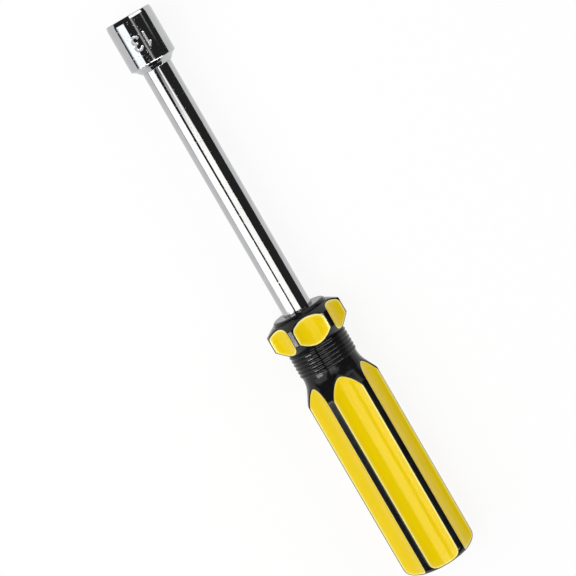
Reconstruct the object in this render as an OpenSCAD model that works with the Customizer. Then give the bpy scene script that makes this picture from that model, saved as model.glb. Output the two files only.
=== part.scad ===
// Nut driver: a hexagon socket on a hollow shaft, moulded into a two-colour fluted handle.
// It lies on the edges of one flute of the handle, with the mouth of the socket towards +X.
// Lengths along the tool start at the mouth of the socket, and in the handle at its nose.

/* [Socket] */
// Width across the flats of the nut or bolt head
nut_across_flats = 13; // [10:0.5:14]
// Play across the flats of the recess
nut_play = 0.2; // [0.05:0.05:0.4]
// Depth of the hexagonal recess
recess_depth = 12; // [8:0.5:15]
// Depth of the cone that leads the nut into the recess
lead_in_depth = 0.9; // [0.4:0.1:1.4]
// Outside diameter of the socket
socket_d = 18.7; // [18:0.1:22]
// Length of the straight wall of the socket
socket_wall_len = 19; // [17:0.5:26]
// Length of the cone at the heel of the socket
socket_cone_len = 2.6; // [1.6:0.1:5]
// Diameter of the heel face
socket_heel_d = 12.6; // [12:0.1:15]
// Width of the chamfer round the mouth
mouth_chamfer = 0.4; // [0.2:0.1:0.7]

/* [Shaft] */
// Diameter of the shaft
shaft_d = 11.8; // [11:0.1:12.4]
// Length of the blade, from the mouth to the handle
blade_len = 125; // [75:1:200]
// Diameter of the hollow that clears a threaded stud
stud_bore_d = 8.5; // [5:0.1:9.5]
// Depth of the hollow, from the mouth
stud_bore_depth = 118; // [40:1:150]
// Point angle of the drill that made the hollow
drill_point_angle = 118; // [90:1:140]
// Diameter of the spigot that the socket is pressed on
spigot_d = 10.4; // [9.6:0.1:10.8]
// Length of the tang inside the handle
tang_len = 80; // [50:1:92]
// Width over the two wings that keep the tang from turning
wing_span = 17; // [14:0.5:20]
// Thickness of a wing
wing_t = 2.4; // [1.6:0.1:4]
// Length of a wing along the tang
wing_len = 14; // [6:1:24]
// Distance from the wings to the end of the tang
wing_setback = 6; // [2:1:12]

/* [Handle] */
// Length of the handle, from the nose to the crown of the butt
handle_len = 113; // [105:1:140]
// Diameter of the nose
nose_d = 22.2; // [20:0.1:23.4]
// Length of the nose in front of the collar
nose_len = 2.8; // [2:0.1:5]
// Radius of the nose's domed face
nose_dome_r = 25; // [20:1:60]

/* [Collar] */
// Diameter at the small end of the collar's front cone
collar_front_d = 23.6; // [22.6:0.1:26]
// Length of the front cone
collar_front_len = 2.3; // [1.5:0.1:5]
// Diameter over the lands of the collar
collar_land_d = 31.1; // [30.2:0.1:32]
// Length of the collar at its full width
collar_len = 6.3; // [3:0.1:12]
// Angle of the cone behind the collar, from the axis
collar_rear_angle = 45; // [30:1:60]

/* [Neck] */
// Diameter of the neck between its ribs
neck_d = 23.1; // [20:0.1:23.6]
// Height of a rib
rib_h = 0.45; // [0.2:0.05:0.6]
// Width of a rib at its foot
rib_w = 1.2; // [0.9:0.1:1.5]
// Distance from rib to rib
rib_pitch = 1.6; // [1.5:0.1:2.4]
// Number of ribs
rib_count = 6; // [3:1:8]
// Plain stretch between the last rib and the flare
neck_plain_len = 2.2; // [0.2:0.1:4]
// Share of the step from the neck to the bottoms of the flutes that the flare's fillet takes
flare_fillet_share = 0.85; // [0.3:0.05:0.95]
// Angle of the flare, from the axis
flare_angle = 26.5; // [18:0.5:40]

/* [Grip] */
// Diameter over the lands of the grip
grip_land_d = 30.2; // [29:0.1:31]
// Rounding of the edge of the butt
butt_edge_r = 4; // [2:0.5:6]
// Height of the crown on the end of the butt
butt_crown = 0.7; // [0.3:0.1:1.5]

/* [Flutes] */
// Distance across the bottoms of two opposite flutes
across_flutes = 24.2; // [23.8:0.1:25]
// Radius of the hollow of a flute
flute_r = 13.4; // [12:0.1:16]

/* [Panels] */
// Thickness of a panel
panel_t = 1.3; // [0.8:0.1:1.6]
// Width of the black rim along the sides of a panel and at its end by the neck
panel_rim = 0.15; // [0.1:0.05:0.4]
// Width of the black rim in front of a collar panel
collar_panel_rim = 0.5; // [0.3:0.05:1]
// Width of the black rim behind a grip panel
butt_panel_rim = 0.6; // [0.3:0.05:1]
// Rounding of the front corners of a collar panel
collar_panel_corner_r = 1.3; // [0.5:0.1:2.5]
// Rounding of the rear corners of a grip panel
butt_panel_corner_r = 0.9; // [0.3:0.1:2.5]

/* [Hidden] */
$fn = 96;
overrun = 1;
hex_count = 6;
half_flat = 180 / hex_count;
flute_count = 6;
flute_angle = 360 / flute_count;
plan_steps = 12;

// Socket and shaft
socket_r = socket_d / 2;
socket_heel_r = socket_heel_d / 2;
socket_len = socket_wall_len + socket_cone_len;
recess_apothem = (nut_across_flats + nut_play) / 2;
shaft_r = shaft_d / 2;
stud_bore_r = stud_bore_d / 2;
drill_point_len = stud_bore_r / tan(drill_point_angle / 2);
tang_end = blade_len + tang_len;
total_len = blade_len + handle_len;

// Radii of the handle
nose_r = nose_d / 2;
collar_front_r = collar_front_d / 2;
collar_land_r = collar_land_d / 2;
neck_r = neck_d / 2;
flute_bottom = across_flutes / 2;
land_r = grip_land_d / 2;
rib_arc_r = (pow(rib_w / 2, 2) + pow(rib_h, 2)) / (2 * rib_h);

// Places along the handle
collar_full = nose_len + collar_front_len;
collar_rear = collar_full + collar_len;
neck_start = collar_rear + (collar_land_r - neck_r) / tan(collar_rear_angle);
flare_start = neck_start + rib_count * rib_pitch + neck_plain_len;
flare_fillet_r = flare_fillet_share * (flute_bottom - neck_r) / (1 - cos(flare_angle));
fillet_end = [
    neck_r + flare_fillet_r * (1 - cos(flare_angle)),
    flare_start + flare_fillet_r * sin(flare_angle)
];
flare_corner = [neck_r, flare_start + flare_fillet_r * tan(flare_angle / 2)];
grip_start = fillet_end[1] + (land_r - fillet_end[0]) / tan(flare_angle);
butt_rim_r = land_r - butt_edge_r;
butt_rim = handle_len - butt_crown;
butt_edge = butt_rim - butt_edge_r;
crown_r = (pow(butt_rim_r, 2) + pow(butt_crown, 2)) / (2 * butt_crown);

// Flutes and panels
flute_centre = flute_bottom + flute_r;
rest_h = flute_edge_h(max(collar_land_r, land_r));
collar_panel_half = flute_edge_half(collar_land_r) - panel_rim;
grip_panel_half = flute_edge_half(land_r) - panel_rim;

// Height over the axis, and half width, of a flute's edge on a land of a radius
function flute_edge_h(r) = (pow(r, 2) + pow(flute_centre, 2) - pow(flute_r, 2)) / (2 * flute_centre);
function flute_edge_half(r) = sqrt(pow(r, 2) - pow(flute_edge_h(r), 2));

// Distance from the axis to the hollow of a flute, to one side of its middle
function flute_reach(side) = norm([flute_centre - sqrt(pow(flute_r, 2) - pow(side, 2)), side]);

// Places along the handle where its cones and the edge of its butt have a radius
function front_cone_place(r) =
    nose_len + collar_front_len * max(r - collar_front_r, 0) / (collar_land_r - collar_front_r);
function rear_cone_place(r) = neck_start - (r - neck_r) / tan(collar_rear_angle);
function flare_place(r) = fillet_end[1] + (r - fillet_end[0]) / tan(flare_angle);
function butt_edge_place(r) = butt_edge + sqrt(pow(butt_edge_r, 2) - pow(max(r - butt_rim_r, 0), 2));

// How far a rounded corner draws in the end of a panel, to one side of its middle
function corner_setback(side, half_w, corner_r) =
    let (past = max(abs(side) - half_w + corner_r, 0))
    corner_r - sqrt(max(pow(corner_r, 2) - pow(past, 2), 0));

// Ends of the panels, to one side of the middle of a flute
function collar_panel_front(side) =
    front_cone_place(flute_reach(side)) + collar_panel_rim
    + corner_setback(side, collar_panel_half, collar_panel_corner_r);
function collar_panel_rear(side) = rear_cone_place(flute_reach(side)) - panel_rim;
function grip_panel_front(side) = flare_place(flute_reach(side)) + panel_rim;
function grip_panel_rear(side) =
    butt_edge_place(flute_reach(side)) - butt_panel_rim
    - corner_setback(side, grip_panel_half, butt_panel_corner_r);

// Steps across a panel, closer together towards its corners
function plan_sides(half_w) = [for (i = [-plan_steps:plan_steps]) half_w * sin(90 * i / plan_steps)];

// Lays the tool down from its build axis, with the first flute upwards
module laid() {
    translate([total_len / 2, 0, rest_h])
        rotate([0, -90, 0])
            children();
}

// Puts a piece of the handle behind the blade, laid down
module in_handle() {
    laid()
        translate([0, 0, blade_len])
            children();
}

// Hexagonal bar with a flat towards +X
module hex_bar(apothem, length) {
    rotate([0, 0, half_flat])
        cylinder(h = length, r = apothem / cos(half_flat), $fn = hex_count);
}

// Half outline of the nose, a short cylinder with a domed face that meets the shaft
module nose_outline() {
    dome_centre = sqrt(pow(nose_dome_r, 2) - pow(shaft_r, 2));
    intersection() {
        square([nose_r, nose_len]);
        translate([0, dome_centre])
            circle(r = nose_dome_r);
    }
}

// Half outline of the collar between its two cones
module collar_outline() {
    polygon([
        [0, nose_len],
        [collar_front_r, nose_len],
        [collar_land_r, collar_full],
        [collar_land_r, collar_rear],
        [neck_r, neck_start],
        [0, neck_start]
    ]);
}

// Half outline of the neck, with a row of rounded ribs
module neck_outline() {
    translate([0, neck_start])
        square([neck_r, flare_start - neck_start]);
    for (i = [0:rib_count - 1])
        translate([neck_r + rib_h - rib_arc_r, neck_start + (i + 1 / 2) * rib_pitch])
            circle(r = rib_arc_r);
}

// Half outline of the flare, a cone that a fillet joins to the neck
module flare_outline() {
    polygon([
        [0, flare_start],
        [neck_r, flare_start],
        flare_corner,
        [land_r, grip_start],
        [0, grip_start]
    ]);
    difference() {
        polygon([[neck_r, flare_start], fillet_end, flare_corner]);
        translate([neck_r + flare_fillet_r, flare_start])
            circle(r = flare_fillet_r);
    }
}

// Half outline of the grip, with a rounded and crowned butt
module grip_outline() {
    translate([0, grip_start])
        square([land_r, butt_edge - grip_start]);
    translate([0, butt_edge])
        square([butt_rim_r, butt_edge_r]);
    translate([butt_rim_r, butt_edge])
        circle(r = butt_edge_r);
    intersection() {
        translate([0, handle_len - crown_r])
            circle(r = crown_r);
        translate([0, butt_rim])
            square([butt_rim_r, butt_crown]);
    }
}

// The whole handle before it is fluted
module turned_form() {
    rotate_extrude() {
        nose_outline();
        collar_outline();
        neck_outline();
        flare_outline();
        grip_outline();
    }
}

// Bars along one flute of the collar and of the grip, going a depth under its hollow
module collar_flute(index, depth) {
    rotate([0, 0, (index - 1) * flute_angle])
        translate([flute_centre, 0, -overrun])
            cylinder(h = neck_start + overrun, r = flute_r + depth);
}

module grip_flute(index, depth) {
    rotate([0, 0, (index - 1) * flute_angle])
        translate([flute_centre, 0, flare_start])
            cylinder(h = handle_len - flare_start + overrun, r = flute_r + depth);
}

// Plan of a collar panel: rounded corners at the front, run out on the cone at the rear
module collar_panel_plan() {
    sides = plan_sides(collar_panel_half);
    polygon(concat(
        [for (side = sides) [side, collar_panel_front(side)]],
        [for (side = sides) [-side, collar_panel_rear(side)]]
    ));
}

// Plan of a grip panel: run out on the flare at the front, rounded corners at the butt
module grip_panel_plan() {
    sides = plan_sides(grip_panel_half);
    polygon(concat(
        [for (side = sides) [side, grip_panel_front(side)]],
        [for (side = sides) [-side, grip_panel_rear(side)]]
    ));
}

// Upright walls of a plan over one flute
module plan_walls(index) {
    rotate([0, 0, (index - 1) * flute_angle])
        rotate([90, 0, 90])
            linear_extrude(height = collar_land_r)
                children();
}

// Pockets in one flute, as deep under its hollow as a panel is thick
module collar_pocket(index) {
    intersection() {
        plan_walls(index)
            collar_panel_plan();
        collar_flute(index, panel_t);
    }
}

module grip_pocket(index) {
    intersection() {
        plan_walls(index)
            grip_panel_plan();
        grip_flute(index, panel_t);
    }
}

// The shaft before it is drilled, with its spigot, tang and wings
module shaft_blank() {
    translate([0, 0, recess_depth])
        cylinder(h = tang_end - recess_depth, d = spigot_d);
    translate([0, 0, socket_len])
        cylinder(h = tang_end - socket_len, d = shaft_d);
    translate([-wing_t / 2, -wing_span / 2, tang_end - wing_setback - wing_len])
        cube([wing_t, wing_span, wing_len]);
}

module socket() {
    color("silver")
        laid()
            difference() {
                rotate_extrude()
                    polygon([
                        [0, 0],
                        [socket_r - mouth_chamfer, 0],
                        [socket_r, mouth_chamfer],
                        [socket_r, socket_wall_len],
                        [socket_heel_r, socket_len],
                        [0, socket_len]
                    ]);
                translate([0, 0, -overrun])
                    hex_bar(recess_apothem, recess_depth + overrun);
                translate([0, 0, -overrun])
                    cylinder(
                        h = lead_in_depth + overrun,
                        r1 = recess_apothem + lead_in_depth + overrun,
                        r2 = recess_apothem
                    );
                translate([0, 0, recess_depth - overrun])
                    cylinder(h = socket_len - recess_depth + 2 * overrun, d = spigot_d);
            }
}

module shaft() {
    color("lightgray")
        laid()
            difference() {
                shaft_blank();
                translate([0, 0, recess_depth - overrun])
                    cylinder(h = stud_bore_depth - recess_depth + overrun, d = stud_bore_d);
                translate([0, 0, stud_bore_depth])
                    cylinder(h = drill_point_len, r1 = stud_bore_r, r2 = 0);
            }
}

module handle_core() {
    color([0.11, 0.11, 0.12])
        difference() {
            in_handle()
                difference() {
                    turned_form();
                    for (i = [1:flute_count]) {
                        collar_flute(i, 0);
                        grip_flute(i, 0);
                        collar_pocket(i);
                        grip_pocket(i);
                    }
                }
            laid()
                shaft_blank();
        }
}

module collar_panel(index) {
    color([0.93, 0.82, 0.1])
        in_handle()
            difference() {
                collar_pocket(index);
                collar_flute(index, 0);
            }
}

module grip_panel(index) {
    color([0.93, 0.82, 0.1])
        in_handle()
            difference() {
                grip_pocket(index);
                grip_flute(index, 0);
            }
}

socket();
shaft();
handle_core();
for (i = [1:flute_count]) {
    collar_panel(i);
    grip_panel(i);
}
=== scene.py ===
import math

import bmesh
import bpy
import numpy as np
from mathutils import Matrix, Vector


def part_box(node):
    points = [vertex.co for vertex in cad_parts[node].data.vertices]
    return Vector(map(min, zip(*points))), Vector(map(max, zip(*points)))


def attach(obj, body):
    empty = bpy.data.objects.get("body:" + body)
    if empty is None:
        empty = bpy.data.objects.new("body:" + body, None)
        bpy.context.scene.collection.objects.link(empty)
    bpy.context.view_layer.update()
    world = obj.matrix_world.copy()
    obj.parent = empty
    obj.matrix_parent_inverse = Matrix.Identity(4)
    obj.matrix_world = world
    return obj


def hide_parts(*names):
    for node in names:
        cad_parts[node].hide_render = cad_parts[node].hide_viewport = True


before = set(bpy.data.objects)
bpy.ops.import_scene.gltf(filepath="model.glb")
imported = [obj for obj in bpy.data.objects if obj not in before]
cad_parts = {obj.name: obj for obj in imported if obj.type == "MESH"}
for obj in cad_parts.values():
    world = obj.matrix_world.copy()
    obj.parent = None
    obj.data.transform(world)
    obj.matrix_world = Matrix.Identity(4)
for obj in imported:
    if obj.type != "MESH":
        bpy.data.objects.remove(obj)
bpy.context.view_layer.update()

mm = 0.001
sixth = math.pi / 3

# the tool lies along X with its mouth at +X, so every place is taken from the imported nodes
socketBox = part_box("socket")
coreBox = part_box("handle_core")
mouthX = socketBox[1].x
axisZ = 0.5 * (socketBox[0].z + socketBox[1].z)
nose = (mouthX - coreBox[1].x) / mm          # mm from the mouth back to the nose of the handle
print("frame loaded: nose", round(nose, 2), "mm behind the mouth")

meshSizes = dict(joinDistance=2e-7, leastEdge=1e-7, sharpAngle=34, mostCut=0.45, hold=0.08)


def atPlace(back, up, side):
    return (mouthX - back * mm, side * mm, axisZ + up * mm)


def softMin(a, b, blend):
    t = np.clip(0.5 + 0.5 * (b - a) / blend, 0.0, 1.0)
    return b + (a - b) * t - blend * t * (1.0 - t)


def roundCorners(points, steps):
    # points are (back, radius, corner radius); returns the line with its corners rounded
    mostCut = meshSizes["mostCut"]
    line = []
    for i, (back, radius, corner) in enumerate(points):
        if corner == 0 or i in (0, len(points) - 1):
            line.append((back, radius))
            continue
        here = Vector((back, radius))
        before = Vector(points[i - 1][:2]) - here
        after = Vector(points[i + 1][:2]) - here
        half = before.angle(after) / 2
        cut = min(corner / math.tan(half), mostCut * before.length, mostCut * after.length)
        arcR = cut * math.tan(half)
        before.normalize()
        after.normalize()
        centre = here + (before + after).normalized() * arcR / math.sin(half)
        a0 = here + before * cut - centre
        a1 = here + after * cut - centre
        turn = a0.angle_signed(a1)
        # a close row on both sides keeps the flats flat in the shading
        reach = cut + meshSizes["hold"] * cut
        line.append(tuple(here + before * reach))
        for k in range(steps + 1):
            p = centre + Matrix.Rotation(-turn * k / steps, 2) @ a0
            line.append((p.x, p.y))
        line.append(tuple(here + after * reach))
    return line


def fillLine(line, countSteps):
    # adds places between the points of a line, as many as countSteps asks for
    filled = []
    for (b0, r0), (b1, r1) in zip(line, line[1:]):
        steps = countSteps(b0, r0, b1, r1)
        for k in range(steps):
            filled.append((b0 + (b1 - b0) * k / steps, r0 + (r1 - r0) * k / steps))
    return filled + [line[-1]]


def ring(back, radius, angles):
    if radius <= 0:
        return [atPlace(back, 0, 0)]
    return [atPlace(back, radius * math.cos(a), radius * math.sin(a)) for a in angles]


def skinRows(name, rows, loop=False):
    # rows of points round the axis become one closed skin; a row of one point is a pole
    starts, points, faces = [], [], []
    for row in rows:
        starts.append(len(points))
        points.extend(row)
    pairs = [(i, i + 1) for i in range(len(rows) - 1)]
    if loop:
        pairs.append((len(rows) - 1, 0))
    for a, b in pairs:
        count = max(len(rows[a]), len(rows[b]))
        for j in range(count):
            k = (j + 1) % count
            if len(rows[a]) == 1:
                faces.append((starts[a], starts[b] + j, starts[b] + k))
            elif len(rows[b]) == 1:
                faces.append((starts[a] + j, starts[b], starts[a] + k))
            else:
                faces.append((starts[a] + j, starts[b] + j, starts[b] + k, starts[a] + k))
    mesh = bpy.data.meshes.new(name)
    mesh.from_pydata(points, [], faces)
    closeMesh(mesh)
    return mesh


def closeMesh(mesh):
    bm = bmesh.new()
    bm.from_mesh(mesh)
    bmesh.ops.remove_doubles(bm, verts=bm.verts, dist=meshSizes["joinDistance"])
    bmesh.ops.dissolve_degenerate(bm, edges=bm.edges, dist=meshSizes["leastEdge"])
    bmesh.ops.recalc_face_normals(bm, faces=bm.faces)
    bm.to_mesh(mesh)
    bm.free()
    smoothMesh(mesh)


def smoothMesh(mesh):
    mesh.shade_smooth()
    mesh.set_sharp_from_angle(angle=math.radians(meshSizes["sharpAngle"]))


def addPiece(name, mesh, material, slot, *nodes):
    piece = bpy.data.objects.new(name, mesh)
    bpy.context.scene.collection.objects.link(piece)
    mesh.materials.clear()
    mesh.materials.append(material)
    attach(piece, "root")
    if nodes:
        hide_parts(*nodes)
    print("piece", name, len(mesh.polygons), "faces")


def newFinish(name):
    material = bpy.data.materials.new(name)
    material.use_nodes = True
    tree = material.node_tree
    return material, tree, tree.nodes["Principled BSDF"]


def emptyTree(owner):
    owner.use_nodes = True
    owner.node_tree.nodes.clear()
    return owner.node_tree


def addNode(tree, kind, **settings):
    node = tree.nodes.new(kind)
    for key, value in settings.items():
        setattr(node, key, value)
    return node


def feed(tree, socket, value):
    # a socket takes the output of another node or a plain value
    if isinstance(value, bpy.types.NodeSocket):
        tree.links.new(value, socket)
    else:
        socket.default_value = value


def attributeValue(tree, name):
    return addNode(tree, "ShaderNodeAttribute", attribute_name=name).outputs["Fac"]


def objectNoise(tree, scale, detail=3.0, stretch=(1, 1, 1)):
    roughness = 0.55
    coords = addNode(tree, "ShaderNodeTexCoord")
    mapping = addNode(tree, "ShaderNodeMapping")
    noise = addNode(tree, "ShaderNodeTexNoise")
    feed(tree, mapping.inputs["Vector"], coords.outputs["Object"])
    feed(tree, mapping.inputs["Scale"], stretch)
    feed(tree, noise.inputs["Vector"], mapping.outputs["Vector"])
    feed(tree, noise.inputs["Scale"], scale)
    feed(tree, noise.inputs["Detail"], detail)
    feed(tree, noise.inputs["Roughness"], roughness)
    return noise.outputs["Fac"]


def spread(tree, value, low, high, fromLow=0.3, fromHigh=0.7):
    node = addNode(tree, "ShaderNodeMapRange")
    feed(tree, node.inputs["Value"], value)
    feed(tree, node.inputs["From Min"], fromLow)
    feed(tree, node.inputs["From Max"], fromHigh)
    feed(tree, node.inputs["To Min"], low)
    feed(tree, node.inputs["To Max"], high)
    return node.outputs["Result"]


# where a Mix node keeps its first, second and mixed sockets for each kind of data
mixPlaces = {"FLOAT": (2, 3, 0), "RGBA": (6, 7, 2)}


def mixed(tree, kind, share, first, second):
    firstPlace, secondPlace, result = mixPlaces[kind]
    node = addNode(tree, "ShaderNodeMix", data_type=kind)
    feed(tree, node.inputs[0], share)
    feed(tree, node.inputs[firstPlace], first)
    feed(tree, node.inputs[secondPlace], second)
    return node.outputs[result]


def addBump(tree, shader, layers):
    # layers are (height output, distance in metres, strength), laid one on the other
    normal = None
    for height, distance, strength in layers:
        bump = addNode(tree, "ShaderNodeBump")
        feed(tree, bump.inputs["Height"], height)
        feed(tree, bump.inputs["Distance"], distance)
        feed(tree, bump.inputs["Strength"], strength)
        if normal is not None:
            feed(tree, bump.inputs["Normal"], normal)
        normal = bump.outputs["Normal"]
    feed(tree, shader.inputs["Normal"], normal)


chromeLook = dict(
    bright=(0.515, 0.518, 0.525, 1), dull=(0.46, 0.463, 0.472, 1), cloudScale=180,
    roughLow=0.018, roughHigh=0.042,
    stampRough=0.5, stampMetal=0.2, stampGrey=(0.4, 0.4, 0.41, 1),
    lineScale=900, lineDetail=2.0, lineStretch=(0.06, 1, 1), lineDepth=0.000004, lineBump=0.2,
    waveScale=210, waveDetail=1.5, waveDepth=0.00003, waveBump=0.35,
    pitScale=1300, pitDetail=1.0, pitFrom=0.67, pitSpan=0.06, pitDepth=0.00002, pitBump=0.5,
)


def makeChrome():
    look = chromeLook
    material, tree, shader = newFinish("polishedChrome")
    cloud = spread(tree, objectNoise(tree, look["cloudScale"]), 0, 1)
    plating = mixed(tree, "RGBA", cloud, look["bright"], look["dull"])
    lines = objectNoise(tree, look["lineScale"], look["lineDetail"], look["lineStretch"])
    polish = spread(tree, lines, look["roughLow"], look["roughHigh"])
    # the struck number is a matte grey
    stamp = attributeValue(tree, "stamped")
    colour = mixed(tree, "RGBA", stamp, plating, look["stampGrey"])
    feed(tree, shader.inputs["Base Color"], colour)
    feed(tree, shader.inputs["Metallic"], spread(tree, stamp, 1, look["stampMetal"], 0, 1))
    rough = mixed(tree, "FLOAT", stamp, polish, look["stampRough"])
    feed(tree, shader.inputs["Roughness"], rough)
    wave = objectNoise(tree, look["waveScale"], look["waveDetail"])
    # a few tiny pits in the plating
    grain = objectNoise(tree, look["pitScale"], look["pitDetail"])
    pits = spread(tree, grain, 0, 1, look["pitFrom"], look["pitFrom"] + look["pitSpan"])
    addBump(tree, shader, [
        (wave, look["waveDepth"], look["waveBump"]),
        (lines, look["lineDepth"], look["lineBump"]),
        (pits, look["pitDepth"], look["pitBump"]),
    ])
    return material


blackLook = dict(
    main=(0.0046, 0.0046, 0.0052, 1), shade=(0.009, 0.009, 0.01, 1),
    gloss=0.2, tint=(1, 1, 1, 1), roughLow=0.1, roughHigh=0.16,
    cloudScale=160, cloudStretch=(1, 1, 1),
    grainScale=3200, grainDepth=0.00004, grainBump=0.08,
)
# rim is the pale colour of a painted highlight along the panels' rounded edges
yellowLook = dict(
    main=(0.80, 0.578, 0.0006, 1), shade=(0.77, 0.55, 0.0005, 1), rim=(0.97, 0.89, 0.3, 1),
    gloss=0.15, tint=(1.0, 0.9, 0.62, 1), roughLow=0.09, roughHigh=0.15,
    cloudScale=75, cloudStretch=(0.5, 1, 1),
    grainScale=2600, grainDepth=0.00003, grainBump=0.05,
)


def makeMoulding(name, look):
    cloudDetail, grainDetail = 4.0, 2.0
    material, tree, shader = newFinish(name)
    cloud = objectNoise(tree, look["cloudScale"], cloudDetail, look["cloudStretch"])
    colour = mixed(tree, "RGBA", spread(tree, cloud, 0, 1), look["main"], look["shade"])
    if "rim" in look:          # a painted highlight along the rounded rim of a panel
        colour = mixed(tree, "RGBA", attributeValue(tree, "paintedEdgeHighlight"), colour, look["rim"])
    rough = spread(tree, cloud, look["roughLow"], look["roughHigh"])
    feed(tree, shader.inputs["Base Color"], colour)
    feed(tree, shader.inputs["Roughness"], rough)
    feed(tree, shader.inputs["Specular IOR Level"], look["gloss"])
    feed(tree, shader.inputs["Specular Tint"], look["tint"])
    grain = objectNoise(tree, look["grainScale"], grainDetail)
    addBump(tree, shader, [(grain, look["grainDepth"], look["grainBump"])])
    return material


chrome = makeChrome()
black = makeMoulding("blackMoulding", blackLook)
yellow = makeMoulding("yellowMoulding", yellowLook)
print("finishes made")


# lipRows and leadRows are (back, radius) steps that ease the edge of the recess
socketSizes = dict(
    outerR=9.35, wallLen=19.0, coneLen=2.6, spigotR=5.2,
    mouthFace=0.5, mouthDrop=0.28, mouthRun=1.5, mouthRound=0.35, mouthEase=4.0,
    shoulderRound=0.5, heelBend=1.1, heelBendR=7.62, heelBendRound=1.6, heelR=6.3, heelRound=0.3,
    recessApothem=6.6, recessDepth=12.0, recessEase=0.1, leadIn=0.9, cornerEase=0.14,
    lipRows=((0.12, -0.02), (0.03, 0.04), (0, 0.13)), leadRows=((0.16, 0), (0.06, 0.03)),
    frontRows=(2.5, 4, 5.5), heelRows=(15, 17), roundSteps=7,
    coarseStep=1.25, fineStep=0.5, fineHalfAngle=34,
)
markSizes = dict(
    centre=10.6, height=5.2, gap=4.0, stroke=0.95, depth=0.12, wall=0.16, turn=3.0,
    flagRun=0.8, flagDrop=0.22, hookAngle=155, strokePoints=60, flagPoints=20,
    rowStep=0.1, margin=0.8,
)


def markStrokes():
    # the number 13 as points along its strokes, in mm round the wall and along it
    m = markSizes
    h, r = m["height"], m["height"] / 4
    left, right = -m["gap"] / 2, m["gap"] / 2
    points = [(left, h * (t - 0.5)) for t in np.linspace(0, 1, m["strokePoints"])]
    for t in np.linspace(0, 1, m["flagPoints"]):
        points.append((left - m["flagRun"] * t, h * (0.5 - m["flagDrop"] * t)))
    for middle, start, end in ((r, m["hookAngle"], -90), (-r, 90, -m["hookAngle"])):
        for a in np.radians(np.linspace(start, end, m["strokePoints"])):
            points.append((right + r * math.cos(a), middle + r * math.sin(a)))
    return np.array(points)


def makeSocket():
    d, m = socketSizes, markSizes
    half, step = d["fineHalfAngle"], d["coarseStep"]
    fine = np.arange(-half, half + d["fineStep"] / 2, d["fineStep"])
    coarse = np.arange(half + step, 360 - half - step / 2, step)
    angles = np.radians(np.concatenate([fine, coarse]) + m["turn"])
    same = np.ones_like(angles)
    local = (angles + sixth / 2) % sixth - sixth / 2
    cornerR = d["recessApothem"] / math.cos(sixth / 2)
    hexR = d["recessApothem"] / np.cos(local)
    hexR = softMin(hexR, cornerR - d["cornerEase"], d["cornerEase"])
    leadR = d["recessApothem"] + d["leadIn"]
    mouthR = np.maximum(leadR, hexR)
    leadEnd = np.maximum(leadR - hexR, 0.0)
    full = d["wallLen"] + d["coneLen"]
    outline = roundCorners([
        (0, leadR + d["mouthFace"], 0),
        (0, d["outerR"] - d["mouthDrop"], d["mouthRound"]),
        (d["mouthRun"], d["outerR"], d["mouthEase"]),
        (d["wallLen"], d["outerR"], d["shoulderRound"]),
        (d["wallLen"] + d["heelBend"], d["heelBendR"], d["heelBendRound"]),
        (full, d["heelR"], d["heelRound"]),
        (full, d["spigotR"], 0),
    ], d["roundSteps"])
    markLow = m["centre"] - m["height"] / 2 - m["margin"]
    markHigh = m["centre"] + m["height"] / 2 + m["margin"]
    wallRows = [*d["frontRows"], *np.arange(markLow, markHigh, m["rowStep"]), *d["heelRows"]]
    strokes = markStrokes()
    arc = (np.degrees(angles) - m["turn"] + 180) % 360 - 180
    arc = np.radians(arc) * d["outerR"]

    def row(backs, radii):
        places = zip(backs, radii, angles)
        return [atPlace(b, r * math.cos(a), r * math.sin(a)) for b, r, a in places]

    rows = [row(back * same, mouthR + grow) for back, grow in d["lipRows"]]
    lastBack = 0
    for back, radius in outline:
        if lastBack < markLow < back:
            for b in wallRows:
                along = b - m["centre"] - strokes[None, :, 1]
                far = np.hypot(arc[:, None] - strokes[None, :, 0], along).min(1)
                inStroke = np.clip((m["stroke"] / 2 - far) / m["wall"], 0, 1)
                rows.append(row(b * same, d["outerR"] - m["depth"] * inStroke))
        rows.append(row(back * same, radius * same))
        lastBack = back
    rows.append(row(d["recessDepth"] * same, d["spigotR"] * same))
    rows.append(row(d["recessDepth"] * same, hexR - d["recessEase"]))
    rows.append(row((d["recessDepth"] - d["recessEase"]) * same, hexR))
    rows += [row(leadEnd + back, hexR + grow) for back, grow in d["leadRows"]]
    mesh = skinRows("socket_shell", rows, loop=True)

    stamped = []
    for v in mesh.vertices:
        deep = d["outerR"] - math.hypot(v.co.y, v.co.z - axisZ) / mm
        inMark = markLow < (mouthX - v.co.x) / mm < markHigh
        inMark = inMark and v.co.z > axisZ and deep < 2 * m["depth"]
        stamped.append(min(max(deep / m["depth"], 0.0), 1.0) if inMark else 0.0)
    mesh.attributes.new("stamped", "FLOAT", "POINT").data.foreach_set("value", stamped)
    return mesh


addPiece("socket_shell", makeSocket(), chrome, "chrome", "socket")


shaftSizes = dict(
    bladeR=5.9, spigotR=5.19, spigotStart=12.0, spigotEnd=21.6, tangEnd=205.0,
    boreR=4.25, boreEnd=118.0, boreTip=120.55,
    boreEndRound=0.4, boreMouthRound=0.25, spigotMouthRound=0.15, spigotEndRound=0.05,
    bladeRound=0.12, tangRound=0.5, roundSteps=5, rowRoom=6, columns=240,
    wingStart=185.0, wingEnd=199.0, wingOut=8.5, wingHalf=1.2, wingRoot=0.3,
    wingRound=0.2, wingSteps=2,
)


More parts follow.
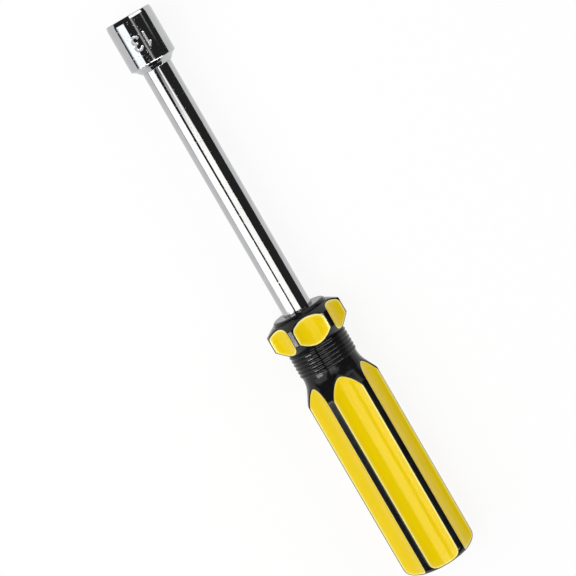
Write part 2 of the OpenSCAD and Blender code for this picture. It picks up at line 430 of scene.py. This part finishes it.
def makeShaft():
    d = shaftSizes
    angles = np.linspace(0, 2 * math.pi, d["columns"], endpoint=False)
    line = roundCorners([
        (d["boreTip"], 0, 0),
        (d["boreEnd"], d["boreR"], d["boreEndRound"]),
        (d["spigotStart"], d["boreR"], d["boreMouthRound"]),
        (d["spigotStart"], d["spigotR"], d["spigotMouthRound"]),
        (d["spigotEnd"], d["spigotR"], d["spigotEndRound"]),
        (d["spigotEnd"], d["bladeR"], d["bladeRound"]),
        (d["tangEnd"], d["bladeR"], d["tangRound"]),
        (d["tangEnd"], 0, 0),
    ], d["roundSteps"])
    line = fillLine(line, lambda b0, r0, b1, r1: int(abs(b1 - b0) // d["rowRoom"]) + 1)
    mesh = skinRows("shaft_rod", [ring(b, r, angles) for b, r in line])
    bm = bmesh.new()
    bm.from_mesh(mesh)
    wingLen = d["wingEnd"] - d["wingStart"]
    wingWide = d["wingOut"] - d["bladeR"] + d["wingRoot"]
    size = [s * mm for s in (wingLen, wingWide, 2 * d["wingHalf"])]
    for turn in (1, -1):          # the two wings that key the tang in the handle
        middle = (d["wingStart"] + d["wingEnd"]) / 2
        middle = atPlace(middle, 0, turn * (d["wingOut"] - wingWide / 2))
        place = Matrix.Translation(middle) @ Matrix.Diagonal((*size, 1))
        made = bmesh.ops.create_cube(bm, size=1, matrix=place)
        edges = list({e for v in made["verts"] for e in v.link_edges})
        bmesh.ops.bevel(bm, geom=edges, offset=d["wingRound"] * mm, segments=d["wingSteps"],
                        affect="EDGES", profile=0.5)
    bm.to_mesh(mesh)
    bm.free()
    smoothMesh(mesh)
    return mesh


addPiece("shaft_rod", makeShaft(), chrome, "chrome", "shaft")


# the handle is one turned outline that six flutes are cut into
handleSizes = dict(
    boreR=5.92, tangEnd=80.05, wingRoomR=8.6, wingRoomStart=59.9, wingRoomEnd=74.1,
    boreRows=((0.5, 0), (0.1, 0.12)),
    noseFace=1.36, noseRound=1.36, noseR=11.1, noseLen=2.8,
    faceStart=0.5, faceEnd=0.4, faceRows=7, noseSteps=12,
    frontR=11.8, collarR=15.55, fullStart=5.1, fullEnd=11.4, collarRound=0.3,
    neckR=11.55, neckStart=15.4, neckRound=0.6, neckSlack=0.1,
    flareStart=25.7, filletR=11.0, flareAngle=26.5, flareRoom=14, flarePlaces=1500,
    flareLead=0.3, gripLead=1.0, landR=15.1, landBlend=0.3,
    buttEdgeR=4.0, buttFirstAngle=3, buttSteps=30, buttCrown=0.7, handleLen=113.0,
    crownShares=(0.93, 0.8, 0.6, 0.4, 0.2),
    roundSteps=5, coneStep=0.22, landStep=2.6, leastSlant=0.05,
)
fluteSizes = dict(
    bottom=12.1, hollowR=13.4, sideLimit=6.9, sink=0.1, sinkRun=0.15, edgeBlend=0.22,
    leastAngle=8.0, edgeAngles=(0.4, 0.9, 1.6), hollowGap=2, landGap=1.5,
    hollowColumns=11, landColumns=3,
)
fluteMid = fluteSizes["bottom"] + fluteSizes["hollowR"]
flutedR = handleSizes["neckR"] - handleSizes["neckSlack"]
buttStart = handleSizes["handleLen"] - handleSizes["buttCrown"] - handleSizes["buttEdgeR"]
buttRimR = handleSizes["landR"] - handleSizes["buttEdgeR"]
coneRun = handleSizes["fullStart"] - handleSizes["noseLen"]
coneRise = (handleSizes["collarR"] - handleSizes["frontR"]) / coneRun
flareTurn = math.radians(handleSizes["flareAngle"])
filletEnd = handleSizes["flareStart"] + handleSizes["filletR"] * math.sin(flareTurn)


def fluteUp(side):
    return fluteMid - np.sqrt(fluteSizes["hollowR"] ** 2 - side ** 2)


def fluteReach(side):
    return np.hypot(fluteUp(side), side)


def fluteRay(angle):
    # how far a ray from the axis goes before it meets the hollow
    room = fluteSizes["hollowR"] ** 2 - (fluteMid * np.sin(angle)) ** 2
    return fluteMid * np.cos(angle) - np.sqrt(np.maximum(room, 0))


def fluteEdge(radius):
    up = (radius ** 2 + fluteMid ** 2 - fluteSizes["hollowR"] ** 2) / (2 * fluteMid)
    return math.acos(min(up / radius, 1.0))


def frontConeAt(radius):
    return handleSizes["noseLen"] + (radius - handleSizes["frontR"]) / coneRise


def rearConeAt(radius):
    return handleSizes["neckStart"] - (radius - handleSizes["neckR"])


def flare(back):
    d = handleSizes
    run = np.clip(back - d["flareStart"], 0, filletEnd - d["flareStart"])
    arc = d["neckR"] + d["filletR"] - np.sqrt(d["filletR"] ** 2 - run ** 2)
    return arc + np.maximum(back - filletEnd, 0) * math.tan(flareTurn)


flareEnd = handleSizes["flareStart"] + handleSizes["flareRoom"]
flareBacks = np.linspace(handleSizes["flareStart"], flareEnd, handleSizes["flarePlaces"])
flareRadii = flare(flareBacks)


def flareAt(radius):
    return np.interp(radius, flareRadii, flareBacks)


def buttAt(radius):
    room = handleSizes["buttEdgeR"] ** 2 - (radius - buttRimR) ** 2
    return buttStart + np.sqrt(np.maximum(room, 0))


# the yellow panels fill the flutes up to a rim; insets are the rows along their edges and tips
panelSizes = dict(
    thick=0.9, seam=0.03, edgeRound=0.2, highlightWidth=0.56, collarRim=0.5, buttRim=0.2,
    collarHalf=6.62, collarCornerR=1.3, collarTipRun=0.5, collarTipDrop=0.3, collarRows=8,
    gripHalf=6.3, gripCornerR=0.7, gripTipRun=1.5, gripTipDrop=0.3, gripRows=26,
    edgeInsets=(0, 0.03, 0.07, 0.13, 0.2, 0.3, 0.45, 0.7), sideInset=1.1, sideColumns=31,
    tipInsets=(1.6, 1.25, 1.0, 0.8, 0.62, 0.46, 0.32, 0.2, 0.11, 0.04, 0), bodyGap=0.3,
)


def cornerDrop(side, half, corner):
    # how far a panel's closed end draws back to round its two corners
    over = np.clip(np.abs(side) - (half - corner), 0, corner)
    return corner - np.sqrt(np.maximum(corner ** 2 - over ** 2, 0))


def collarFront(side):
    corner = cornerDrop(side, panelSizes["collarHalf"], panelSizes["collarCornerR"])
    return frontConeAt(fluteReach(side)) + panelSizes["collarRim"] + corner


def collarRear(side):
    return rearConeAt(fluteReach(side))


def gripFront(side):
    return flareAt(fluteReach(side))


def gripEnd(side):
    corner = cornerDrop(side, panelSizes["gripHalf"], panelSizes["gripCornerR"])
    return buttAt(fluteReach(side)) - panelSizes["buttRim"] - corner


def handleOutline():
    d = handleSizes
    corners = [
        (d["tangEnd"], d["boreR"], 0),
        (d["wingRoomEnd"], d["boreR"], 0), (d["wingRoomEnd"], d["wingRoomR"], 0),
        (d["wingRoomStart"], d["wingRoomR"], 0), (d["wingRoomStart"], d["boreR"], 0),
    ]
    corners += [(d["noseFace"] + back, d["boreR"] + grow, 0) for back, grow in d["boreRows"]]
    faceStart = d["boreR"] + d["faceStart"]
    faceEnd = d["noseR"] - d["noseRound"] - d["faceEnd"]
    for r in np.linspace(faceStart, faceEnd, d["faceRows"]):
        corners.append((d["noseFace"], r, 0))
    for a in np.radians(np.linspace(0, 90, d["noseSteps"])):      # the rounded rim of the nose
        corners.append((d["noseFace"] + d["noseRound"] * (1 - math.cos(a)),
                        d["noseR"] - d["noseRound"] * (1 - math.sin(a)), 0))
    corners += [
        (d["noseLen"], d["noseR"], 0), (d["noseLen"], d["frontR"], d["collarRound"]),
        (d["fullStart"], d["collarR"], d["collarRound"]),
        (d["fullEnd"], d["collarR"], d["collarRound"]),
        (d["neckStart"], d["neckR"], d["neckRound"]), (d["flareStart"], d["neckR"], 0),
    ]
    line = roundCorners(corners, d["roundSteps"])
    firstBack = d["flareStart"] + d["flareLead"]
    lastBack = float(flareAt(d["landR"])) + d["gripLead"]
    for back in np.arange(firstBack, lastBack, d["coneStep"]):
        line.append((back, float(softMin(flare(back), d["landR"], d["landBlend"]))))
    line.append((buttStart, d["landR"]))
    for a in np.radians(np.linspace(d["buttFirstAngle"], 90, d["buttSteps"])):
        line.append((buttStart + d["buttEdgeR"] * math.sin(a),
                     buttRimR + d["buttEdgeR"] * math.cos(a)))
    crownR = (buttRimR ** 2 + d["buttCrown"] ** 2) / (2 * d["buttCrown"])
    for r in buttRimR * np.array(d["crownShares"]):
        line.append((d["handleLen"] - crownR + math.sqrt(crownR ** 2 - r ** 2), r))

    def countSteps(b0, r0, b1, r1):
        slanted = abs(r1 - r0) > d["leastSlant"] and min(r0, r1) > flutedR
        step = d["coneStep"] if slanted else d["landStep"]
        return max(1, math.ceil(math.hypot(b1 - b0, r1 - r0) / step))

    return fillLine(line, countSteps)


def sectorAngles(edge):
    # columns of one flute and half of each land beside it, close together at the edge
    f = fluteSizes
    near = np.radians(f["edgeAngles"])
    hollow = np.linspace(0, edge - f["hollowGap"] * near[-1], f["hollowColumns"])
    land = np.linspace(edge + f["landGap"] * near[-1], sixth / 2, f["landColumns"])
    half = np.concatenate([hollow, edge - near[::-1], [edge], edge + near, land])
    return np.concatenate([-half[:0:-1], half[:-1]])


def makeCore():
    d, f = handleSizes, fluteSizes
    leastAngle = math.radians(f["leastAngle"])
    rows = [[atPlace(nose + d["tangEnd"], 0, 0)]]
    for back, radius in handleOutline():
        angles = sectorAngles(max(fluteEdge(radius), leastAngle))
        reach = np.full_like(angles, radius)
        if radius > flutedR:
            # under a panel the flute lies a little deeper
            ray = fluteRay(angles)
            side = np.clip(ray * np.sin(angles), -f["sideLimit"], f["sideLimit"])
            onCollar = back < d["flareStart"]
            inward = back - collarFront(side) if onCollar else gripEnd(side) - back
            under = np.clip(inward / f["sinkRun"] + 1, 0, 1)
            reach = softMin(radius, ray - f["sink"] * under, f["edgeBlend"])
        row = []
        for k in range(6):
            for r, a in zip(reach, angles + k * sixth):
                row.append(atPlace(nose + back, r * math.cos(a), r * math.sin(a)))
        rows.append(row)
    rows.append([atPlace(nose + d["handleLen"], 0, 0)])
    return skinRows("handle_moulding", rows)


addPiece("handle_moulding", makeCore(), black, "black_plastic", "handle_core")


def newTree(name, inputs):
    tree = bpy.data.node_groups.new(name, "GeometryNodeTree")
    tree.interface.new_socket("Geometry", in_out="INPUT", socket_type="NodeSocketGeometry")
    for label, kind in inputs:
        tree.interface.new_socket(label, in_out="INPUT", socket_type=kind)
    tree.interface.new_socket("Geometry", in_out="OUTPUT", socket_type="NodeSocketGeometry")
    return tree, tree.nodes.new("NodeGroupInput"), tree.nodes.new("NodeGroupOutput")


def finishTree(tree, instances, material, out):
    real = tree.nodes.new("GeometryNodeRealizeInstances")
    paint = tree.nodes.new("GeometryNodeSetMaterial")
    paint.inputs["Material"].default_value = material
    tree.links.new(instances, real.inputs["Geometry"])
    tree.links.new(real.outputs["Geometry"], paint.inputs["Geometry"])
    tree.links.new(paint.outputs["Geometry"], out.inputs["Geometry"])


def runTree(name, source, tree, values):
    carrier = bpy.data.objects.new(name + "_carrier", source)
    bpy.context.scene.collection.objects.link(carrier)
    modifier = carrier.modifiers.new(name, "NODES")
    modifier.node_group = tree
    for item in tree.interface.items_tree:
        if item.item_type == "SOCKET" and item.in_out == "INPUT" and item.name in values:
            modifier[item.identifier] = values[item.name]
    graph = bpy.context.evaluated_depsgraph_get()
    mesh = bpy.data.meshes.new_from_object(carrier.evaluated_get(graph), depsgraph=graph)
    mesh.name = name
    carrier.modifiers.clear()
    bpy.data.objects.remove(carrier)
    closeMesh(mesh)
    return mesh


def makeTurnTree(material):
    tree, given, out = newTree("turnRoundAxis", [
        ("Count", "NodeSocketInt"), ("Axis Height", "NodeSocketFloat"),
    ])
    place = tree.nodes.new("ShaderNodeCombineXYZ")
    line = tree.nodes.new("GeometryNodeMeshLine")
    line.inputs["Offset"].default_value = (0, 0, 0)
    index = tree.nodes.new("GeometryNodeInputIndex")
    step = addNode(tree, "ShaderNodeMath", operation="DIVIDE")
    step.inputs[0].default_value = 2 * math.pi
    angle = addNode(tree, "ShaderNodeMath", operation="MULTIPLY")
    turn = tree.nodes.new("ShaderNodeCombineXYZ")
    euler = tree.nodes.new("FunctionNodeEulerToRotation")
    copies = tree.nodes.new("GeometryNodeInstanceOnPoints")
    link = tree.links.new
    link(given.outputs["Axis Height"], place.inputs["Z"])
    link(given.outputs["Count"], line.inputs["Count"])
    link(place.outputs[0], line.inputs["Start Location"])
    link(given.outputs["Count"], step.inputs[1])
    link(index.outputs[0], angle.inputs[0])
    link(step.outputs[0], angle.inputs[1])
    link(angle.outputs[0], turn.inputs["X"])
    link(turn.outputs[0], euler.inputs[0])
    link(line.outputs["Mesh"], copies.inputs["Points"])
    link(given.outputs["Geometry"], copies.inputs["Instance"])
    link(euler.outputs[0], copies.inputs["Rotation"])
    finishTree(tree, copies.outputs["Instances"], material, out)
    return tree


def roundOff(distance, run, drop):
    near = np.clip(1 - distance / run, 0, 1)
    return drop * (1 - np.sqrt(1 - near ** 2))


def sheetFaces(rows, columns):
    # the top and the underside of a sheet of points, joined along their border
    under = rows * columns
    faces = []
    for i in range(rows - 1):
        for j in range(columns - 1):
            a = i * columns + j
            b = under + a
            faces.append((a, a + columns, a + columns + 1, a + 1))
            faces.append((b, b + 1, b + columns + 1, b + columns))
    border = list(range(columns))
    border += [i * columns + columns - 1 for i in range(1, rows)]
    border += [(rows - 1) * columns + j for j in range(columns - 2, -1, -1)]
    border += [i * columns for i in range(rows - 2, 0, -1)]
    for a, b in zip(border, border[1:] + border[:1]):
        faces.append((a, b, under + b, under + a))
    return faces


def makePanel(kind, closedAt, openAt):
    # one panel about the axis, from its closed end to the tip that runs out on the turned surface
    p = panelSizes
    half = p[kind + "Half"] - p["seam"]
    tipRun, tipDrop, edge = p[kind + "TipRun"], p[kind + "TipDrop"], p["edgeRound"]
    inset = np.array(p["edgeInsets"])
    inner = half - p["sideInset"]
    body = np.linspace(-half + p["sideInset"], inner, p["sideColumns"])
    sides = np.concatenate([-half + inset, body, half - inset[::-1]])
    middle = len(sides) // 2
    closed, opened = closedAt(sides), openAt(sides)
    way = np.sign(opened[middle] - closed[middle])
    closedSlant = np.hypot(1, np.gradient(closed, sides))
    openSlant = np.hypot(1, np.gradient(opened, sides))
    closed = closed + way * p["seam"]
    opened = opened - way * p["seam"] * openSlant
    tipInset = np.array(p["tipInsets"]) * tipRun
    backs = [closed + way * i for i in inset]
    first = backs[-1] + way * p["bodyGap"]
    last = opened - way * (tipInset[0] + p["bodyGap"]) * openSlant
    backs += [first + (last - first) * f for f in np.linspace(0, 1, p[kind + "Rows"])]
    backs += [opened - way * i * openSlant for i in tipInset]

    top, under, edgeHighlight = [], [], []
    for back in backs:
        fromSide = half - np.abs(sides)
        fromClosed = way * (back - closed) / closedSlant
        fromTip = way * (opened - back) / openSlant
        up = fluteUp(sides)
        under += zip(back, up - p["thick"], sides)
        up = up - roundOff(fromSide, edge, edge)
        up = up - roundOff(fromClosed, edge, edge)
        up = up - roundOff(fromTip, tipRun, tipDrop)
        top += zip(back, up, sides)
        near = np.minimum(np.minimum(fromSide, fromClosed), fromTip)
        # a painted highlight along the panel's edges and tip, strongest at the border
        edgeHighlight += list(np.exp(-(np.maximum(near, 0) / p["highlightWidth"]) ** 2))
    points = [(mouthX - (nose + b) * mm, s * mm, u * mm) for b, u, s in top + under]
    edgeHighlight += [0.0] * len(edgeHighlight)
    mesh = bpy.data.meshes.new(kind + "_panel_form")
    mesh.from_pydata(points, [], sheetFaces(len(backs), len(sides)))
    mesh.attributes.new("paintedEdgeHighlight", "FLOAT", "POINT").data.foreach_set("value", edgeHighlight)
    closeMesh(mesh)
    return mesh


turnTree = makeTurnTree(yellow)
turnValues = {"Count": 6, "Axis Height": axisZ}
panelForms = {
    "collar_panel": makePanel("collar", collarFront, collarRear),
    "grip_panel": makePanel("grip", gripEnd, gripFront),
}
for panelName, panelForm in panelForms.items():
    panelNodes = ["%s_%d" % (panelName, i + 1) for i in range(6)]
    panelMesh = runTree(panelName + "s", panelForm, turnTree, turnValues)
    addPiece(panelName + "s", panelMesh, yellow, "yellow_plastic", *panelNodes)


ribSizes = dict(count=6, pitch=1.6, first=0.8, crestR=12.0, arcR=0.625, ringSteps=216, arcSteps=18)


def makeRibTree(material, sizes):
    tree, given, out = newTree("neckRibs", [
        ("Count", "NodeSocketInt"), ("Pitch", "NodeSocketFloat"), ("Start", "NodeSocketVector"),
        ("Ring Radius", "NodeSocketFloat"), ("Arc Radius", "NodeSocketFloat"),
    ])
    path = tree.nodes.new("GeometryNodeCurvePrimitiveCircle")
    path.inputs["Resolution"].default_value = sizes["ringSteps"]
    arc = tree.nodes.new("GeometryNodeCurvePrimitiveCircle")
    arc.inputs["Resolution"].default_value = sizes["arcSteps"]
    tube = tree.nodes.new("GeometryNodeCurveToMesh")
    offset = tree.nodes.new("ShaderNodeCombineXYZ")
    back = addNode(tree, "ShaderNodeMath", operation="MULTIPLY")
    back.inputs[1].default_value = -1
    line = tree.nodes.new("GeometryNodeMeshLine")
    copies = tree.nodes.new("GeometryNodeInstanceOnPoints")
    copies.inputs["Rotation"].default_value = (0, math.pi / 2, 0)
    link = tree.links.new
    link(given.outputs["Ring Radius"], path.inputs["Radius"])
    link(given.outputs["Arc Radius"], arc.inputs["Radius"])
    link(path.outputs["Curve"], tube.inputs["Curve"])
    link(arc.outputs["Curve"], tube.inputs["Profile Curve"])
    link(given.outputs["Pitch"], back.inputs[0])
    link(back.outputs[0], offset.inputs["X"])
    link(given.outputs["Count"], line.inputs["Count"])
    link(given.outputs["Start"], line.inputs["Start Location"])
    link(offset.outputs[0], line.inputs["Offset"])
    link(line.outputs["Mesh"], copies.inputs["Points"])
    link(tube.outputs["Mesh"], copies.inputs["Instance"])
    finishTree(tree, copies.outputs["Instances"], material, out)
    return tree


ribStart = handleSizes["neckStart"] + ribSizes["first"]
ribValues = {
    "Count": ribSizes["count"],
    "Pitch": ribSizes["pitch"] * mm,
    "Start": atPlace(nose + ribStart, 0, 0),
    "Ring Radius": (ribSizes["crestR"] - ribSizes["arcR"]) * mm,
    "Arc Radius": ribSizes["arcR"] * mm,
}
ribSource = bpy.data.meshes.new("ribSource")
ribMesh = runTree("neck_ribs", ribSource, makeRibTree(black, ribSizes), ribValues)
addPiece("neck_ribs", ribMesh, black, "black_plastic", "handle_core")


cameraSizes = dict(
    alongTilt=7.7, sideTilt=3.0, distance=0.878, focalPixels=2340.0, imageWidth=576.0,
    lookBack=117.5, lookSide=-0.925, roll=30.144, sensorWidth=36.0, clipEnd=50,
)
white = (1, 1, 1, 1)
studio = dict(
    floorColour=(0.94, 0.94, 0.94, 1), floorGlow=0.88, floorSize=12.0, floorGap=0.0004,
    worldLight=0.5,
    tentR=0.75, tentRear=-0.75, tentFront=0.85, tentDark=0.03,
    tentRows=359, tentReach=89.5, tentFine=(-0.18, 0.16), tentColumns=(40, 171, 50),
    frontPanel=(-0.62, -0.05, 0.03, 0.7), frontGap=0.005, frontLight=1.55,
)
lamps = dict(
    keyLamp=dict(centre=(0.1, 0.5, 0.75), size=(0.7, 0.7), radiance=3.3),
    fillLamp=dict(centre=(-0.05, -0.7, 0.55), size=(0.8, 0.7), radiance=1.0),
)
cool, cream, plain = (0.94, 0.97, 1.0), (1.0, 0.985, 0.95), (1.0, 1.0, 1.0)

# the bright windows of the dark tent: where they are along X, how far round they reach at the
# start and, if it differs, at the end of that (in degrees from the view, left is minus), how
# bright they are and how soft their borders are along X and on the two sides
windows = [
    # the shaft and the socket
    dict(x=(-0.116, 0.083), start=(-85, -27.5), end=(-82, -34.5), light=2.1, soft=(0.004, 5, 1.5)),
    dict(x=(0.079, 0.15), start=(-74, -34), light=2.1, tint=cool, soft=(0.004, 14, 1.5)),
    dict(x=(-0.121, 0.03), start=(-17, 25), end=(-17, 21), light=2.0, tint=cream,
         soft=(0.004, 1.5, 1.5)),
    dict(x=(0.026, 0.082), start=(-17, 21), end=(-13, 16), light=2.0, tint=cream,
         soft=(0.004, 1.5, 1.5), fade=0.06),
    dict(x=(0.026, 0.083), start=(2, 14), end=(4, 13), light=2.0, tint=cream, soft=(0.004, 2, 2)),
    dict(x=(0.08, 0.3), start=(3, 11), light=0.58, tint=cream, soft=(0.004, 2, 2)),
    dict(x=(0.08, 0.3), start=(11, 16), light=0.14, tint=cream, soft=(0.004, 2, 2)),
    dict(x=(0.1, 0.3), start=(56, 64), light=0.28, soft=(0.03, 2, 2)),
    dict(x=(0.33, 0.52), start=(4, 72), light=2.1, tint=cream, soft=(0.03, 3, 8)),
    # the collar, the ribs and the grip
    dict(x=(-0.146, -0.119), start=(-66, -42), light=34.0, soft=(0.004, 4, 4)),
    dict(x=(-0.158, -0.146), start=(-70, -38), light=9.0, soft=(0.004, 6, 6)),
    dict(x=(-0.74, -0.45), start=(14, 62), light=16.0, soft=(0.04, 6, 6)),
    dict(x=(-0.65, -0.155), start=(-40, -24), light=8.0, soft=(0.02, 3, 3)),
    dict(x=(-0.139, -0.119), start=(-14, 14), light=8.0, soft=(0.004, 3, 3)),
    dict(x=(-0.65, -0.168), start=(-14, 14), light=8.0, soft=(0.004, 3, 3)),
    dict(x=(-0.65, -0.155), start=(-88, -64), light=2.4, soft=(0.02, 6, 3)),
]


def rayMask(tree):
    # one for the rays that see the background, none for those that light the object
    rays = addNode(tree, "ShaderNodeLightPath")
    seen = rays.outputs["Is Camera Ray"]
    for kind in ("Is Glossy Ray", "Is Transmission Ray"):
        either = addNode(tree, "ShaderNodeMath", operation="MAXIMUM")
        feed(tree, either.inputs[0], seen)
        feed(tree, either.inputs[1], rays.outputs[kind])
        seen = either.outputs[0]
    return seen


def mixShaders(tree, share, first, second, outKind):
    mix = addNode(tree, "ShaderNodeMixShader")
    out = addNode(tree, outKind)
    feed(tree, mix.inputs[0], share)
    feed(tree, mix.inputs[1], first.outputs[0])
    feed(tree, mix.inputs[2], second.outputs[0])
    feed(tree, out.inputs["Surface"], mix.outputs[0])


def makeFloor():
    material = bpy.data.materials.new("paleFloor")
    tree = emptyTree(material)
    matte = addNode(tree, "ShaderNodeBsdfDiffuse")
    feed(tree, matte.inputs["Color"], studio["floorColour"])
    glow = addNode(tree, "ShaderNodeEmission")
    feed(tree, glow.inputs["Color"], white)
    share = addNode(tree, "ShaderNodeMath", operation="MULTIPLY")
    feed(tree, share.inputs[0], rayMask(tree))
    feed(tree, share.inputs[1], studio["floorGlow"])
    mixShaders(tree, share.outputs[0], matte, glow, "ShaderNodeOutputMaterial")
    half = studio["floorSize"] / 2
    low = coreBox[0].z - studio["floorGap"]
    corners = [(-half, -half, low), (half, -half, low), (half, half, low), (-half, half, low)]
    mesh = bpy.data.meshes.new("floor")
    mesh.from_pydata(corners, [], [(0, 1, 2, 3)])
    mesh.materials.append(material)
    floor = bpy.data.objects.new("floor", mesh)
    bpy.context.scene.collection.objects.link(floor)


def softStep(value, border, width):
    t = np.clip((value - border) / width + 0.5, 0, 1)
    return t * t * (3 - 2 * t)


def tentGlow(x, turn):
    glow = np.full(x.shape + (3,), studio["tentDark"])
    for w in windows:
        xStart, xEnd = w["x"]
        xSoft, lowSoft, highSoft = w["soft"]
        along = np.clip((x - xStart) / (xEnd - xStart), 0, 1)
        sides = zip(w["start"], w.get("end", w["start"]))
        low, high = [first + (last - first) * along for first, last in sides]
        share = softStep(x, xStart, xSoft) * softStep(-x, -xEnd, xSoft)
        share *= softStep(turn, low, lowSoft) * softStep(-turn, -high, highSoft)
        share *= 1 - (1 - w.get("fade", 1)) * along
        tint = np.array(w.get("tint", plain))
        glow = np.maximum(glow, share[..., None] * w["light"] * tint)
    return glow


def makeTent():
    # half a tube over the tool with both ends closed, seen only in its reflections
    rear, front, half, rows = [studio[k] for k in ("tentRear", "tentFront", "tentR", "tentRows")]
    fineStart, fineEnd = studio["tentFine"]
    rearCount, fineCount, frontCount = studio["tentColumns"]
    places = np.concatenate([
        np.linspace(rear, fineStart, rearCount)[:-1],
        np.linspace(fineStart, fineEnd, fineCount),
        np.linspace(fineEnd, front, frontCount)[1:],
    ])
    columns = len(places)
    turns = np.linspace(-studio["tentReach"], studio["tentReach"], rows)
    x, turn = np.meshgrid(places, turns)
    a = np.radians(turn)
    points = np.stack([x, -half * np.sin(a), axisZ + half * np.cos(a)], -1).reshape(-1, 3)
    points = [tuple(v) for v in points]
    glow = tentGlow(x, turn + cameraSizes["sideTilt"]).reshape(-1, 3)
    colours = [(*c, 1) for c in glow]
    faces = []
    for i in range(rows - 1):
        for j in range(columns - 1):
            start = i * columns + j
            faces.append((start, start + 1, start + columns + 1, start + columns))
    wall = (-half, half, 0, half + axisZ, studio["tentDark"])
    ends = [(rear, *wall), (front, *wall),
            (front - studio["frontGap"], *studio["frontPanel"], studio["frontLight"])]
    for end, right, left, low, high, light in ends:
        start = len(points)
        points += [(end, right, low), (end, left, low), (end, left, high), (end, right, high)]
        faces.append((start, start + 1, start + 2, start + 3))
        colours += [(light, light, light, 1)] * 4
    mesh = bpy.data.meshes.new("tent")
    mesh.from_pydata(points, [], faces)
    painted = mesh.attributes.new("tentGlow", "FLOAT_COLOR", "POINT")
    painted.data.foreach_set("color", np.ravel(colours))
    material = bpy.data.materials.new("tentCloth")
    tree = emptyTree(material)
    light = addNode(tree, "ShaderNodeEmission")
    paint = addNode(tree, "ShaderNodeAttribute", attribute_name="tentGlow")
    out = addNode(tree, "ShaderNodeOutputMaterial")
    feed(tree, light.inputs["Color"], paint.outputs["Color"])
    feed(tree, out.inputs["Surface"], light.outputs[0])
    mesh.materials.append(material)
    tent = bpy.data.objects.new("tent", mesh)
    bpy.context.scene.collection.objects.link(tent)
    tent.visible_camera = False
    tent.visible_diffuse = False
    tent.visible_shadow = False


def makeSoftbox(name, centre, size, radiance):
    # a lamp that faces the origin, under the middle of the tool
    wide, tall = size
    light = bpy.data.lights.new(name, "AREA")
    light.shape = "RECTANGLE"
    light.size, light.size_y = wide, tall
    light.energy = radiance * math.pi * wide * tall
    lamp = bpy.data.objects.new(name, light)
    bpy.context.scene.collection.objects.link(lamp)
    back = Vector(centre).normalized()
    x = Vector((1, 0, 0))
    y = back.cross(x).normalized()
    turn = Matrix((x, y, back)).transposed().to_4x4()
    lamp.matrix_world = Matrix.Translation(centre) @ turn
    lamp.visible_camera = False
    lamp.visible_glossy = False          # the tent gives the reflections


def makeWorld():
    world = bpy.data.worlds.new("studio")
    bpy.context.scene.world = world
    tree = emptyTree(world)
    light = addNode(tree, "ShaderNodeBackground")
    feed(tree, light.inputs["Color"], white)
    feed(tree, light.inputs["Strength"], studio["worldLight"])
    backdrop = addNode(tree, "ShaderNodeBackground")
    feed(tree, backdrop.inputs["Color"], white)
    feed(tree, backdrop.inputs["Strength"], 1.0)
    mixShaders(tree, rayMask(tree), light, backdrop, "ShaderNodeOutputWorld")


makeFloor()
makeWorld()
makeTent()
for lampName, lampSizes in lamps.items():
    makeSoftbox(lampName, **lampSizes)
print("studio set")


def makeCamera():
    c = cameraSizes
    a, b = math.radians(c["alongTilt"]), math.radians(c["sideTilt"])
    toCamera = Vector((math.sin(a), math.cos(a) * math.sin(b), math.cos(a) * math.cos(b)))
    look = Vector(atPlace(c["lookBack"], 0, c["lookSide"]))
    along = Vector((-1, 0, 0))
    along = (along - toCamera * along.dot(toCamera)).normalized()
    across = toCamera.cross(along)
    roll = math.radians(c["roll"])
    right = along * math.sin(roll) + across * math.cos(roll)
    upward = -along * math.cos(roll) + across * math.sin(roll)
    data = bpy.data.cameras.new("photoCamera")
    data.sensor_width = c["sensorWidth"]
    data.lens = c["focalPixels"] / c["imageWidth"] * data.sensor_width
    data.clip_end = c["clipEnd"]
    camera = bpy.data.objects.new("photoCamera", data)
    bpy.context.scene.collection.objects.link(camera)
    turn = Matrix((right, upward, toCamera)).transposed().to_4x4()
    camera.matrix_world = Matrix.Translation(look + toCamera * c["distance"]) @ turn
    bpy.context.scene.camera = camera


makeCamera()
bpy.context.scene.view_settings.view_transform = "Standard"
print("camera set")
